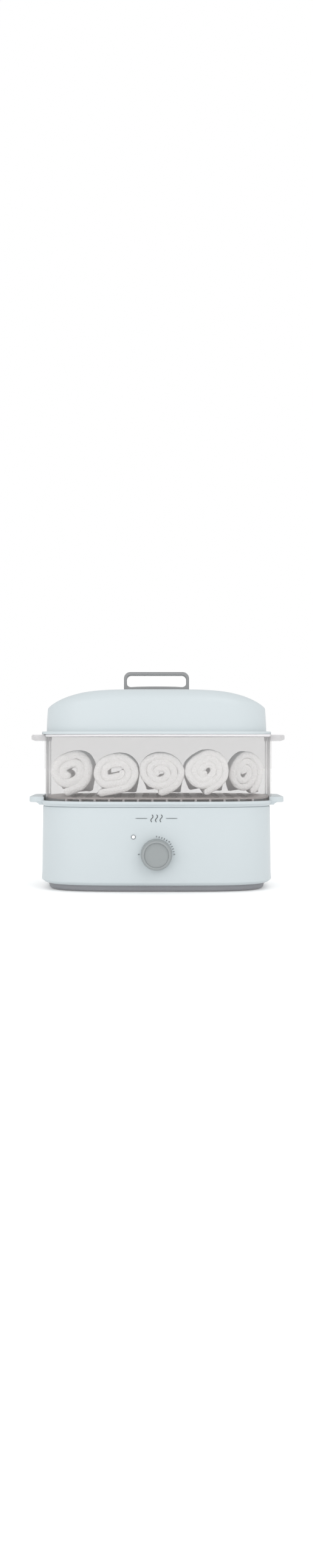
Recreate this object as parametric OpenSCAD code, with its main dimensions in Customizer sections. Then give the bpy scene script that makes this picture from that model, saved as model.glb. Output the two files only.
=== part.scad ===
// Countertop electric towel steamer for a salon or barber's bench: a heated water base with a
// timer, a lift-off drip tray, a frosted basket of rolled towels and a domed lid with a handle.
// Millimetres, +Z up, front towards -Y. The origin is the middle of the bounding box's floor.

/* [Body] */
// Width of the base housing
body_w = 321; // [310:1:330]
// Depth of the base housing, front to back
body_d = 190; // [185:1:200]
// Squareness of the plan outline, where 2 is an ellipse
plan_power = 3.7; // [3.5:0.1:4]
// Wall thickness of the base housing
housing_wall = 2.6; // [2.2:0.1:3]

/* [Heights] */
// Lower edge of the base housing
housing_z = 12; // [11:0.5:13]
// Top of the bottom plate where it shows
plate_z = 9.5; // [9:0.1:10]
// Joint between the base housing and the drip tray
tray_z = 115.5; // [113:0.5:118]
// Top rim of the drip tray
tray_rim_z = 123.3; // [122:0.1:124]
// Top of the basket, where the lid rests
basket_top_z = 214.5; // [212:0.5:225]
// Highest point of the lid's crown
crown_top_z = 276; // [272:1:290]
// Top of the lid handle
handle_top_z = 303; // [300:1:310]

/* [Grips] */
// Reach of the drip tray's grips from its middle
tray_grip_x = 177.5; // [175:0.5:184]
// Reach of the basket's grips from its middle
basket_grip_x = 176.8; // [175:0.1:182]
// Length of a grip, front to back
grip_len = 100; // [80:1:104]
// Radius of a grip's outer corners, seen from above
grip_corner_r = 12; // [8:1:16]

/* [Basket] */
// Wall thickness of the basket
basket_wall_t = 2.2; // [1.8:0.1:2.6]
// Top face of the basket's slotted floor
basket_floor_z = 128; // [127.5:0.1:128.5]
// Spacing of the floor's ribs
rib_pitch = 19.6; // [18:0.2:21]
// Number of floor ribs
rib_count = 14; // [12:2:14]
// Sideways offset of the row of ribs in the basket
rib_shift = 2; // [0:0.2:3]
// How far the basket stands to the right in its loose seat
basket_shift = 2.2; // [0:0.1:2.2]

/* [Lid] */
// How far the lid's wall stands in from the body outline
lid_inset = 6.5; // [5:0.5:8]
// Height lost by the crown between its middle and its ends
crown_fall = 27; // [20:1:30]
// Radius of the crown's front and back edges
crown_edge_r = 17; // [10:1:22]
// Outer width of the lid handle
handle_w = 92.4; // [84:0.2:100]
// Depth of the lid handle, front to back
handle_d = 24; // [18:1:28]

/* [Timer and lamp] */
// Height of the timer's axis
timer_z = 52; // [48:1:56]
// Radius of the timer knob
knob_r = 21.2; // [20:0.1:23]
// How far the timer knob stands out of the housing
knob_h = 18; // [14:0.5:20]
// Sideways place of the indicator lamp
lamp_x = -31.3; // [-36:0.1:-28]
// Height of the indicator lamp
lamp_z = 75.5; // [73:0.5:80]

/* [Water and heat] */
// Half width of the water reservoir
reservoir_a = 140; // [134:1:142]
// Half depth of the water reservoir
reservoir_b = 70; // [66:1:71]
// Top face of the reservoir's floor
reservoir_floor_z = 48.6; // [48:0.1:50]
// Radius of the steam sleeve round the heater
sleeve_r = 54; // [53:1:58]

/* [Hidden] */

shell_blue = "#DCE4E7";
lens_white = "#F0F5F8";
frosted = [0.86, 0.87, 0.87, 0.6];
plate_grey = "#808184";
knob_grey = "#A1A7A7";
handle_grey = "#94999B";
steel = "#B9BCBE";
brass = "#C9A552";
rubber_black = "#2E2F31";
silicone = "#D8D4CC";
towel_white = "#F2F0F0";

plan_points = 72;
bore_fn = 48;
eps = 0.01;
gland_flange_t = 2.5;
// Moves everything so that the knob in front and the gland behind reach equally far
y_shift = (knob_h - gland_flange_t) / 2;
// Middle of the reservoir and heater, behind the timer
reservoir_y = 16;

// Superellipse with flats across both axes
function superellipse(a, b, power = plan_power, count = plan_points) = [
    for (i = [0 : count - 1])
        let (t = (i + 0.5) * 360 / count, c = cos(t), s = sin(t))
        [a * sign(c) * pow(abs(c), 2 / power), b * sign(s) * pow(abs(s), 2 / power)]
];

// Distance from the middle to the flat of the front or rear face, a given inset inside it
function face_y(inset = 0) =
    (body_d / 2 - inset) * pow(sin(90 - 180 / plan_points), 2 / plan_power);

module placed() translate([0, y_shift, 0]) children();

module mirrored_x() {
    children();
    mirror([1, 0, 0]) children();
}

module at_corners(x, y) for (sx = [-1, 1], sy = [-1, 1]) translate([sx * x, sy * y, 0]) children();

// Solid or wall with the body's outline, between two heights
module plan_block(z0, z1, inset = 0)
    translate([0, 0, z0]) linear_extrude(z1 - z0)
        polygon(superellipse(body_w / 2 - inset, body_d / 2 - inset));

module plan_wall(z0, z1, outer, inner) difference() {
    plan_block(z0, z1, outer);
    plan_block(z0 - 1, z1 + 1, inner);
}

// Cylinder along Y from one y to another, at a given x and z
module y_cylinder(r, y0, y1, x = 0, z = 0)
    translate([x, y0, z]) rotate([-90, 0, 0]) cylinder(r = r, h = y1 - y0, $fn = bore_fn);

module z_cylinder(r, z0, z1) translate([0, 0, z0]) cylinder(r = r, h = z1 - z0, $fn = bore_fn);

// Extrusion along Y of an outline drawn in X and Z
module y_extrusion(length) rotate([90, 0, 0]) linear_extrude(length, center = true) children();

// Round-ended slot hole through Z
module slot_block(length, width, z0, z1) translate([0, 0, z0]) linear_extrude(z1 - z0) union() {
    square([length - width, width], center = true);
    for (side = [-1, 1]) translate([side * (length - width) / 2, 0]) circle(d = width, $fn = 32);
}

// ---------------------------------------------------------------- base housing and plate

bottom_post = [124, 60];
post_rib_t = 2.4;
post_rib_len = 19;
post_rib_h = 30;
foot_place = [100, 56];
reservoir_boss = [152.6, 30];
post_z = 14;
screw_r = 1.45;
pilot_r = 1.5;
gland_z = 28;
gland_hole_r = 6.1;
entry_w = 44;
entry_top_z = 46;
entry_gap = 0.2;
timer_screw_x = 13;

// Wall of the housing with its inner foot
module housing_walls() {
    plan_wall(housing_z, tray_z, 0, housing_wall);
    plan_wall(housing_z, housing_z + 3, 0, 5.6);
    plan_wall(plate_z, housing_z, 2.4, 5.6);
}

// Opening in the rear wall, from its lower edge up, that takes the cord entry panel
module entry_block(gap) translate([gap - entry_w / 2, body_d / 4, plate_z - 2])
    cube([entry_w - 2 * gap, body_d / 2, entry_top_z - gap - plate_z + 2]);

module base_housing() color(shell_blue) placed() {
    difference() {
        union() {
            housing_walls();
            at_corners(bottom_post[0], bottom_post[1]) z_cylinder(5, post_z, 44);
            for (sx = [-1, 1], sy = [-1, 1])
                translate([sx * bottom_post[0], sy * (bottom_post[1] + 1 + post_rib_len / 2),
                    post_z + post_rib_h / 2]) cube([post_rib_t, post_rib_len, post_rib_h], center = true);
            intersection() {
                at_corners(reservoir_boss[0], reservoir_boss[1]) z_cylinder(5, 88, 108);
                plan_block(80, tray_z, 1);
            }
        }
        at_corners(bottom_post[0], bottom_post[1]) z_cylinder(pilot_r, post_z - 1, 34);
        at_corners(reservoir_boss[0], reservoir_boss[1]) z_cylinder(pilot_r, 94, 109);
        y_cylinder(5.5, -body_d, -body_d / 4, 0, timer_z);
        for (side = [-1, 1])
            y_cylinder(1.7, -body_d, -body_d / 4, side * timer_screw_x, timer_z);
        y_cylinder(2.75, -body_d, -body_d / 4, lamp_x, lamp_z);
        y_cylinder(3.25, -body_d, -face_y() + 0.45, lamp_x, lamp_z);
        entry_block(0);
    }
}

module entry_panel() color(shell_blue) placed() difference() {
    intersection() {
        housing_walls();
        entry_block(entry_gap);
    }
    y_cylinder(gland_hole_r, body_d / 4, body_d, 0, gland_z);
}

plate_bottom_z = 2;
plate_floor_z = 4.4;
foot_pocket_z = 4;
clamp_boss = [11, 74];
clamp_depth = 7;
// Middle of the terminal block, and its lower and upper faces
block_place = [40, 54];
block_z0 = 6.4;
block_z1 = 19;

module bottom_plate() color(plate_grey) placed() difference() {
    union() {
        plan_block(plate_bottom_z, plate_floor_z, 10.2);
        plan_wall(plate_bottom_z, 5.8, 10.2, 12.4);
        plan_wall(5.2, plate_z, 8.7, 12.4);
        plan_wall(plate_z - 1, 13, 8.7, 10.9);
        plan_wall(plate_z, 13, 6.1, 10.9);
        at_corners(bottom_post[0], bottom_post[1]) z_cylinder(5, plate_bottom_z, post_z);
        at_corners(foot_place[0], foot_place[1]) z_cylinder(11, plate_floor_z - 1, 6.2);
        for (side = [-1, 1]) translate([side * clamp_boss[0], clamp_boss[1], 0])
            z_cylinder(3.5, plate_floor_z - 1, gland_z);
        translate([-8, clamp_boss[1] - clamp_depth / 2, plate_floor_z - 1])
            cube([16, clamp_depth, gland_z - 4 - plate_floor_z + 1]);
        translate([block_place[0] - 20, block_place[1] - 8, plate_floor_z - 1])
            cube([40, 16, block_z0 - plate_floor_z + 1]);
    }
    at_corners(foot_place[0], foot_place[1]) z_cylinder(9.05, 0, foot_pocket_z);
    at_corners(bottom_post[0], bottom_post[1]) z_cylinder(3.6, 0, 8);
    at_corners(bottom_post[0], bottom_post[1]) z_cylinder(1.8, 7, post_z + 1);
    for (side = [-1, 1]) translate([side * clamp_boss[0], clamp_boss[1], 0])
        z_cylinder(1.25, 14, gland_z + 1);
    for (side = [-1, 1], i = [-3 : 3]) translate([side * 54 + i * 9, 0, 0])
        rotate(90) slot_block(44, 3.6, 0, 9);
}

module rubber_feet() color(rubber_black) placed()
    at_corners(foot_place[0], foot_place[1]) union() {
        z_cylinder(9, 1, foot_pocket_z);
        z_cylinder(8.4, 0, 1.5);
    }

// Pan-head screw standing on its head's underside, pointing up
module screw(head_r, head_h, shank_r, length) union() {
    z_cylinder(head_r, -head_h, 0);
    z_cylinder(shank_r, -eps, length);
}

module bottom_screws() color(steel) placed()
    at_corners(bottom_post[0], bottom_post[1]) translate([0, 0, 8]) screw(3.3, 2.2, screw_r, 20);

// ---------------------------------------------------------------- water and heater

reservoir_wall = 2.4;
flange_z = 108;
heater_hole_r = 42;
stud_circle_r = 46;
stud_r = 2;
stud_hole_r = 2.3;
seal_t = 1.6;
clamp_t = 1.2;

module at_heater() translate([0, reservoir_y, 0]) children();

module at_studs() for (turn = [90, 210, 330]) rotate(turn) translate([stud_circle_r, 0, 0]) children();

module reservoir_block(z0, z1, inset) at_heater()
    translate([0, 0, z0]) linear_extrude(z1 - z0)
        polygon(superellipse(reservoir_a - inset, reservoir_b - inset));

module water_reservoir() color("#C9CDD0") placed() difference() {
    union() {
        reservoir_block(reservoir_floor_z - 2.6, flange_z + 2.5, 0);
        plan_block(flange_z, flange_z + 2.5, housing_wall + 0.6);
    }
    reservoir_block(reservoir_floor_z, flange_z + 3, reservoir_wall);
    at_heater() {
        z_cylinder(heater_hole_r, 40, 60);
        at_studs() z_cylinder(stud_hole_r, 40, 60);
    }
    at_corners(reservoir_boss[0], reservoir_boss[1]) z_cylinder(1.8, 100, 112);
}

module reservoir_screws() color(steel) placed()
    at_corners(reservoir_boss[0], reservoir_boss[1])
        translate([0, 0, flange_z + 2.5]) mirror([0, 0, 1]) screw(3, 1.2, screw_r, 13);

heater_flange_z = reservoir_floor_z + seal_t;
well_floor_z = 44;

module heater_plate() color(steel) placed() at_heater() {
    rotate_extrude($fn = 72) polygon([
        [0, well_floor_z], [38.2, well_floor_z], [38.2, heater_flange_z], [50, heater_flange_z],
        [50, heater_flange_z + 1.2], [37, heater_flange_z + 1.2], [37, well_floor_z + 1.2],
        [0, well_floor_z + 1.2]]);
    at_studs() z_cylinder(stud_r, 38, heater_flange_z + 0.5);
}

module heater_seal() color(silicone) placed() at_heater() difference() {
    z_cylinder(50, reservoir_floor_z, heater_flange_z);
    z_cylinder(heater_hole_r - 1, reservoir_floor_z - 1, heater_flange_z + 1);
    at_studs() z_cylinder(stud_hole_r, reservoir_floor_z - 1, heater_flange_z + 1);
}

clamp_top_z = reservoir_floor_z - 2.6;

module clamp_ring() color(steel) placed() at_heater() difference() {
    z_cylinder(50, clamp_top_z - clamp_t, clamp_top_z);
    z_cylinder(40, clamp_top_z - 3, clamp_top_z + 1);
    at_studs() z_cylinder(stud_hole_r, clamp_top_z - 3, clamp_top_z + 1);
}

module heater_nuts() color(steel) placed() at_heater() at_studs() difference() {
    translate([0, 0, clamp_top_z - clamp_t - 3]) cylinder(r = 4, h = 3, $fn = 6);
    z_cylinder(stud_r + 0.02, 30, 60);
}

element_ring_r = 26;
element_r = 4;
spreader_z = 34;
element_gap = 30;

module heat_spreader() color("#C8CACC") placed() at_heater() {
    groove = element_r + 0.2;
    rotate_extrude($fn = 72) difference() {
        translate([0, spreader_z]) square([34, well_floor_z - spreader_z]);
        translate([element_ring_r - groove, spreader_z - 1]) square([2 * groove, 9.3]);
    }
}

module heating_element() color("#8C8F92") placed() at_heater() {
    ring_z = spreader_z + element_r + 0.1;
    rotate(-90 + element_gap / 2) translate([0, 0, ring_z])
        rotate_extrude(angle = 360 - element_gap, $fn = 72)
            translate([element_ring_r, 0]) circle(r = element_r, $fn = 32);
    for (side = [-1, 1]) rotate(-90 + side * element_gap / 2)
        translate([element_ring_r, 0, 0]) z_cylinder(2.6, 24, ring_z);
}

module thermostat() color("#3A3B3D") placed() at_heater() union() {
    z_cylinder(8, 24, spreader_z);
    translate([-13, -6, spreader_z - 1]) cube([26, 12, 1]);
    for (side = [-1, 1]) translate([side * 5 - 0.4, -3, 19]) cube([0.8, 6, 6]);
}

module thermal_fuse() color("#D9D2C0") placed() at_heater() translate([0, 15, spreader_z - 2.3])
    rotate([0, 90, 0]) union() {
        cylinder(r = 2.2, h = 12, center = true, $fn = 24);
        cylinder(r = 0.5, h = 28, center = true, $fn = 16);
    }

module steam_sleeve() color(shell_blue) placed() at_heater() difference() {
    union() {
        z_cylinder(sleeve_r, reservoir_floor_z, 84);
        z_cylinder(sleeve_r + 3, 82, 84);
    }
    z_cylinder(sleeve_r - 2, reservoir_floor_z - 1, 85);
    for (turn = [45, 135]) rotate(turn)
        translate([-60, -6, reservoir_floor_z - 1]) cube([120, 12, 6]);
}

// ---------------------------------------------------------------- timer, knob and lamp

front_y = -face_y();
front_inner_y = -face_y(housing_wall);
shaft_r = 3;
case_depth = 24;
bracket_w = 60;
bracket_h = 36;
bracket_t = 1.2;

module timer_bracket() color(steel) placed() difference() {
    translate([-bracket_w / 2, front_inner_y, timer_z - bracket_h / 2])
        cube([bracket_w, bracket_t, bracket_h]);
    y_cylinder(5, front_y - 5, front_y + 15, 0, timer_z);
    for (side = [-1, 1]) y_cylinder(pilot_r, front_y - 5, front_y + 15, side * timer_screw_x, timer_z);
}

case_y0 = front_inner_y + bracket_t;
case_y1 = case_y0 + case_depth;

module timer_case() color("#D5D2C6") placed() difference() {
    union() {
        translate([-24, case_y0, timer_z - 19]) cube([48, case_depth, 38]);
        for (x = [-16, 16]) translate([x - 0.4, case_y1 - eps, timer_z - 17]) cube([0.8, 5, 6]);
    }
    y_cylinder(shaft_r + 0.05, case_y0 - 1, case_y0 + 12, 0, timer_z);
    for (side = [-1, 1]) y_cylinder(pilot_r, case_y0 - 1, case_y0 + 10, side * timer_screw_x, timer_z);
}

module timer_bell() color(brass) placed() union() {
    difference() {
        y_cylinder(17, case_y1 + 1, case_y1 + 8, 0, timer_z + 2);
        y_cylinder(15.8, case_y1, case_y1 + 6.8, 0, timer_z + 2);
    }
    y_cylinder(2, case_y1, case_y1 + 7.5, 0, timer_z + 2);
}

module timer_screws() color(steel) placed() for (side = [-1, 1])
    translate([side * timer_screw_x, front_y, timer_z]) rotate([-90, 0, 0])
        screw(2.8, 1.8, screw_r, 12);

module timer_shaft() color(steel) placed()
    y_cylinder(shaft_r, front_y - knob_h + 5, case_y0 + 11, 0, timer_z);

module timer_knob() color(knob_grey) placed()
    translate([0, front_y, timer_z]) rotate([90, 0, 0]) difference() {
        rotate_extrude($fn = 96) polygon([
            [0, knob_h - 1.8], [14.5, knob_h - 1.5], [16.2, knob_h - 0.1], [17.4, knob_h],
            [18.6, knob_h - 0.2], [19.8, knob_h - 1.4], [20.5, knob_h - 3.4], [knob_r, 1.6],
            [knob_r, 0.6], [19.2, 0.6], [18.6, knob_h - 4.6], [6.5, knob_h - 4.6], [6.5, 0.6],
            [0, 0.6]]);
        z_cylinder(shaft_r + 0.02, -1, knob_h - 4.8);
    }

module lamp_bezel() color(steel) placed() difference() {
    union() {
        y_cylinder(3.15, front_y - 0.9, front_y + 0.45, lamp_x, lamp_z);
        y_cylinder(2.7, front_y, front_y + 8, lamp_x, lamp_z);
    }
    y_cylinder(2.15, front_y - 5, front_y + 9, lamp_x, lamp_z);
}

module lamp_lens() color(lens_white) placed() union() {
    y_cylinder(2.1, front_y - 0.8, front_y + 6, lamp_x, lamp_z);
    y_cylinder(1.6, front_y - 1.4, front_y, lamp_x, lamp_z);
}

module neon_bulb() color("#E8C9A8") placed()
    y_cylinder(1.9, front_y + 6, front_y + 17, lamp_x, lamp_z);

module lamp_holder() color(rubber_black) placed() difference() {
    y_cylinder(4.6, front_inner_y + 0.3, front_inner_y + 3, lamp_x, lamp_z);
    y_cylinder(2.75, front_inner_y - 1, front_inner_y + 4, lamp_x, lamp_z);
}

// ---------------------------------------------------------------- mains entry and wiring

rear_y = face_y();
rear_inner_y = face_y(housing_wall);
gland_bore_r = 3.6;

module cord_gland() color(rubber_black) placed() difference() {
    union() {
        y_cylinder(8, rear_y, rear_y + gland_flange_t, 0, gland_z);
        y_cylinder(gland_hole_r - 0.05, rear_inner_y - 4, rear_y + 1, 0, gland_z);
        y_cylinder(7.2, rear_inner_y - 5, rear_inner_y - 0.1, 0, gland_z);
    }
    y_cylinder(gland_bore_r, rear_inner_y - 6, rear_y + gland_flange_t + 1, 0, gland_z);
}

module cord_clamp() color("#4A4B4D") placed() translate([0, clamp_boss[1], gland_z]) difference() {
    translate([-15, -clamp_depth / 2, 0]) cube([30, clamp_depth, 6]);
    y_cylinder(3.7, -10, 10);
    for (side = [-1, 1]) translate([side * clamp_boss[0], 0, 0]) z_cylinder(1.5, -1, 7);
}

module cord_clamp_screws() color(steel) placed() for (side = [-1, 1])
    translate([side * clamp_boss[0], clamp_boss[1], gland_z + 6]) mirror([0, 0, 1])
        screw(2.4, 1.6, 1.2, 14);

module terminal_block() color("#E6E3DA") placed() translate([block_place[0], block_place[1], 0])
    difference() {
        translate([-18, -6, block_z0]) cube([36, 12, block_z1 - block_z0]);
        for (i = [-1 : 1]) translate([i * 11, 0, 0]) z_cylinder(2.6, block_z1 - 5, block_z1 + 1);
        for (i = [-1 : 1]) y_cylinder(2, -7, 7, i * 11, block_z0 + 4);
    }

module terminal_screws() color(brass) placed() for (i = [-1 : 1])
    translate([block_place[0] + i * 11, block_place[1], block_z1 - 4.9]) z_cylinder(2.4, 0, 2.6);

// Points of a smooth curve through a list of points
function curve_point(p0, p1, p2, p3, t) = 0.5 * (2 * p1 + (p2 - p0) * t
    + (2 * p0 - 5 * p1 + 4 * p2 - p3) * t * t + (3 * p1 - p0 - 3 * p2 + p3) * t * t * t);
function curve(points, steps = 4) = let (last = len(points) - 1) concat(
    [for (i = [0 : last - 1], s = [0 : steps - 1])
        curve_point(points[max(i - 1, 0)], points[i], points[i + 1], points[min(i + 2, last)], s / steps)],
    [points[last]]);
function unit(v) = v / norm(v);

// Round tube swept along a curve, from flat end to flat end
module tube(points, r, sides = 8) {
    path = curve(points);
    count = len(path);
    rings = [for (i = [0 : count - 1])
        let (along = unit(path[min(i + 1, count - 1)] - path[max(i - 1, 0)]),
             side = unit(cross(along, abs(along[2]) > 0.8 ? [1, 0, 0] : [0, 0, 1])),
             up = cross(side, along))
        for (k = [0 : sides - 1])
            path[i] + r * (cos(k * 360 / sides) * side + sin(k * 360 / sides) * up)];
    walls = [for (i = [0 : count - 2], k = [0 : sides - 1]) let (n = (k + 1) % sides)
        each [[i * sides + k, i * sides + n, (i + 1) * sides + n],
              [i * sides + k, (i + 1) * sides + n, (i + 1) * sides + k]]];
    first = [for (k = [0 : sides - 1]) sides - 1 - k];
    final = [for (k = [0 : sides - 1]) (count - 1) * sides + k];
    polyhedron(points = rings, faces = concat(walls, [first, final]));
}

wire_r = 1.1;
// Mains feed from the terminal block to the timer, on the right
feed_route = [[51, 48, 12], [56, 40, 13], [66, 20, 15], [66, -15, 16], [50, -40, 20],
    [28, -55, 28], [17, -61, 37]];
// Neutral from the terminal block to the heating element
neutral_route = [[40, 48, 10.4], [40, 40, 11], [32, 24, 11], [18, 4, 11], [8, -7, 14],
    [6.7, -9.1, 23.4]];
// Switched feed from the timer to the thermostat
switched_route = [[-17, -61, 37], [-24, -54, 28], [-34, -30, 18], [-26, 0, 12], [-14, 14, 12],
    [-6.6, 16, 20]];
// Link from the thermostat to the thermal fuse
link_route = [[6.6, 16, 20], [12, 18, 15], [22, 26, 18], [22, 31, 28], [14, 31, 31.7]];
// Return from the fuse to the other end of the element
return_route = [[-14, 31, 31.7], [-22, 31, 27], [-32, 18, 20], [-28, -6, 16], [-9, -10, 16],
    [-6.7, -9.1, 23.4]];

module wiring() color("#A8452E") placed()
    for (route = [feed_route, neutral_route, switched_route, link_route, return_route])
        tube(route, wire_r);

// ---------------------------------------------------------------- drip tray

ledge_z = tray_z + 2.8;
seat_out = 1.7;
bowl_floor_z = 104;

grip_root_x = 150;

// Plan of the two grips: straight tongues with round outer corners, shrunk by a given amount
module grip_plan(reach, less = 0) mirrored_x() union() {
    half = grip_len / 2 - less;
    r = grip_corner_r - less;
    tip = reach - less;
    translate([grip_root_x, -half]) square([tip - r - grip_root_x, 2 * half]);
    translate([grip_root_x, -half + r]) square([tip - grip_root_x, 2 * (half - r)]);
    for (side = [-1, 1]) translate([tip - r, side * (half - r)]) circle(r = r, $fn = 48);
}

// Tongues with a skirt round their edge, open underneath
module tray_grips() difference() {
    translate([0, 0, tray_rim_z - 2.9]) linear_extrude(7.8) grip_plan(tray_grip_x);
    translate([0, 0, tray_rim_z - 4]) linear_extrude(6.5) difference() {
        grip_plan(tray_grip_x, 2.8);
        polygon(superellipse(body_w / 2 + 3, body_d / 2 + 3));
    }
}

module drip_tray() color(shell_blue) placed() difference() {
    union() {
        plan_block(tray_z, tray_z + 1.3, 0.2);
        plan_block(tray_z + 1.2, ledge_z, -1.8);
        plan_block(ledge_z - 0.1, tray_rim_z - 1, -3.1);
        plan_block(tray_rim_z - 1.1, tray_rim_z, -2.8);
        plan_wall(tray_z - 3.2, tray_z + 1, housing_wall + 0.4, housing_wall + 2.6);
        reservoir_block(bowl_floor_z, tray_z + 1, 5);
        tray_grips();
    }
    plan_block(ledge_z, tray_rim_z + 20, -seat_out);
    difference() {
        reservoir_block(bowl_floor_z + 2, tray_rim_z, 7.2);
        chimneys(0, bowl_floor_z, bowl_floor_z + 9);
    }
    chimneys(-4.4, bowl_floor_z - 1, tray_rim_z);
}

// Raised rims of the six steam openings, or the openings themselves
module chimneys(grow, z0, z1) at_heater() for (column = [-1 : 1], row = [-1, 1])
    translate([column * 80, row * 28, 0]) slot_block(56 + grow, 16 + grow, z0, z1);

// ---------------------------------------------------------------- basket

basket_in = 0.6;
basket_inner = basket_in + basket_wall_t;
floor_t = 2;
rib_w = 3;

module steam_basket() color(frosted) placed() translate([basket_shift, 0, 0]) {
    slot_w = rib_pitch - 10;
    difference() {
        union() {
            plan_wall(ledge_z, basket_top_z, basket_in, basket_inner);
            plan_wall(basket_top_z - 3, basket_top_z, 0, basket_inner);
            plan_block(basket_floor_z - floor_t, basket_floor_z, basket_in + 1);
            intersection() {
                for (i = [0 : rib_count - 1])
                    translate([rib_shift + (i - (rib_count - 1) / 2) * rib_pitch - rib_w / 2, -100,
                        ledge_z + 2]) cube([rib_w, 200, basket_floor_z - floor_t / 2 - ledge_z - 2]);
                plan_block(ledge_z, basket_floor_z, basket_inner - 0.5);
            }
            difference() {
                basket_grips();
                plan_block(ledge_z, basket_top_z + 1, 1);
            }
        }
        for (i = [0 : rib_count - 2], row = [-1, 0, 1])
            translate([rib_shift + (i + 1 - rib_count / 2) * rib_pitch, row * 50, 0])
                rotate(90) slot_block(row == 0 ? 42 : 38, slot_w, basket_floor_z - 5, basket_floor_z + 1);
    }
}

// Skirted tongues like the tray's, shallower towards their tips
module basket_grips() difference() {
    intersection() {
        mirrored_x() y_extrusion(grip_len + 2) polygon([
            [grip_root_x, basket_top_z - 9.3], [basket_grip_x - 7, basket_top_z - 9.3],
            [basket_grip_x + 1, basket_top_z - 7.2], [basket_grip_x + 1, basket_top_z - 2.4],
            [basket_grip_x - 1, basket_top_z - 0.6], [grip_root_x, basket_top_z - 0.6]]);
        translate([0, 0, basket_top_z - 20]) linear_extrude(20) grip_plan(basket_grip_x);
    }
    translate([0, 0, basket_top_z - 20]) linear_extrude(17) difference() {
        grip_plan(basket_grip_x, 2.4);
        polygon(superellipse(body_w / 2 + 1.5, body_d / 2 + 1.5));
    }
}

// ---------------------------------------------------------------- rolled towels

// Rolled towel: left and right edge, underside and top, front and rear end
roll_edges = [
    [-146.5, -87.6, 128.05, 192.5, -58, 58],
    [-87.3, -24.6, 128.05, 188.4, -74, 72],
    [-24.3, 38.8, 128.05, 190.5, -73, 75],
    [39.1, 100.4, 128.05, 193.5, -75, 74],
    [100.7, 149.2, 128.05, 190.5, -53, 53]];

module rolled_towel(i) color(towel_white) placed() {
    e = roll_edges[i];
    translate([(e[0] + e[1]) / 2, e[5], (e[2] + e[3]) / 2]) rotate([90, 0, 0])
        linear_extrude(e[5] - e[4])
            polygon(superellipse((e[1] - e[0]) / 2, (e[3] - e[2]) / 2, 2.3, 32));
}

// ---------------------------------------------------------------- lid

lid_wall = 2.4;
lid_flange_z = basket_top_z + 3.9;
lid_a = body_w / 2 - lid_inset;
lid_b = body_d / 2 - lid_inset;
handle_foot_x = handle_w / 2 - 3.2;

function crown_at(x, drop) = crown_top_z - drop - crown_fall * pow(abs(x) / lid_a, 4.4);

// Everything under the crown's sideways arch, a given distance below its surface
module under_arch(drop) y_extrusion(body_d) polygon(concat(
    [[-lid_a, basket_top_z - 10]],
    [for (i = [-18 : 18]) let (x = lid_a * i / 18) [x, crown_at(x, drop)]],
    [[lid_a, basket_top_z - 10]]));

// Everything under the crown's rounded front and back edges
module under_edges(drop) {
    flat = lid_b - crown_edge_r;
    top = crown_top_z - drop;
    r = crown_edge_r - drop;
    rotate([90, 0, 90]) linear_extrude(body_w, center = true) polygon(concat(
        [[flat + r, basket_top_z - 10]],
        [for (a = [0 : 15 : 90]) [flat + r * cos(a), top - r + r * sin(a)]],
        [for (a = [90 : 15 : 180]) [-flat + r * cos(a), top - r + r * sin(a)]],
        [[-flat - r, basket_top_z - 10]]));
}

module lid_dome(z0, drop) intersection() {
    plan_block(z0, crown_top_z + 1, lid_inset + drop);
    under_arch(drop);
    under_edges(drop);
}

module lid_shell() color(shell_blue) placed() difference() {
    union() {
        plan_block(basket_top_z, lid_flange_z, -1);
        lid_dome(lid_flange_z - 1, 0);
        plan_wall(basket_top_z - 6, basket_top_z + 1, basket_inner + 2.6, basket_inner + 4.8);
    }
    lid_dome(basket_top_z - 9, lid_wall);
    for (side = [-1, 1]) translate([side * handle_foot_x, 0, 0])
        z_cylinder(1.7, crown_top_z - 10, crown_top_z + 5);
    for (i = [-2 : 2]) translate([i * 9, 34, 0])
        rotate(90) slot_block(12, 3, crown_top_z - 10, crown_top_z + 5);
}

module lid_handle() color(handle_grey) placed() difference() {
    half = handle_w / 2;
    r = 9;
    post = 3.8;
    bar = 4.4;
    y_extrusion(handle_d) difference() {
        union() {
            translate([-half, crown_top_z - 0.15]) square([2 * half, handle_top_z - r - crown_top_z + 0.15]);
            translate([-half + r, crown_top_z]) square([2 * (half - r), handle_top_z - crown_top_z]);
            for (side = [-1, 1]) translate([side * (half - r), handle_top_z - r]) circle(r = r, $fn = 48);
        }
        handle_gap(half - post, 6.4, crown_top_z + 5.6, handle_top_z - bar);
    }
    for (side = [-1, 1]) translate([side * handle_foot_x, 0, 0])
        z_cylinder(1.25, crown_top_z - 2, crown_top_z + 12);
    lid_dome(basket_top_z, 0);
}

// Inside of the handle's loop: small round corners on top, chamfered feet below
module handle_gap(half, r, z0, z1) union() {
    foot = 5;
    polygon([[-half + foot, z0], [half - foot, z0], [half, z0 + foot + 2], [half, z1 - r],
        [-half, z1 - r], [-half, z0 + foot + 2]]);
    translate([-half + r, z1 - r - eps]) square([2 * (half - r), r + eps]);
    for (side = [-1, 1]) translate([side * (half - r), z1 - r]) circle(r = r, $fn = 32);
}

washer_t = 1;
washer_r = 4.5;
// Lowest point of the lid's inner face over a washer
washer_top_z = crown_at(handle_foot_x + washer_r, lid_wall) - 0.02;

module handle_screws() color(steel) placed() for (side = [-1, 1])
    translate([side * handle_foot_x, 0, washer_top_z - washer_t]) screw(3, 2, 1.2, 13);

module handle_washers() color(silicone) placed() for (side = [-1, 1])
    translate([side * handle_foot_x, 0, 0]) difference() {
        z_cylinder(washer_r, washer_top_z - washer_t, washer_top_z);
        z_cylinder(1.6, washer_top_z - 3, washer_top_z + 1);
    }

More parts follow.
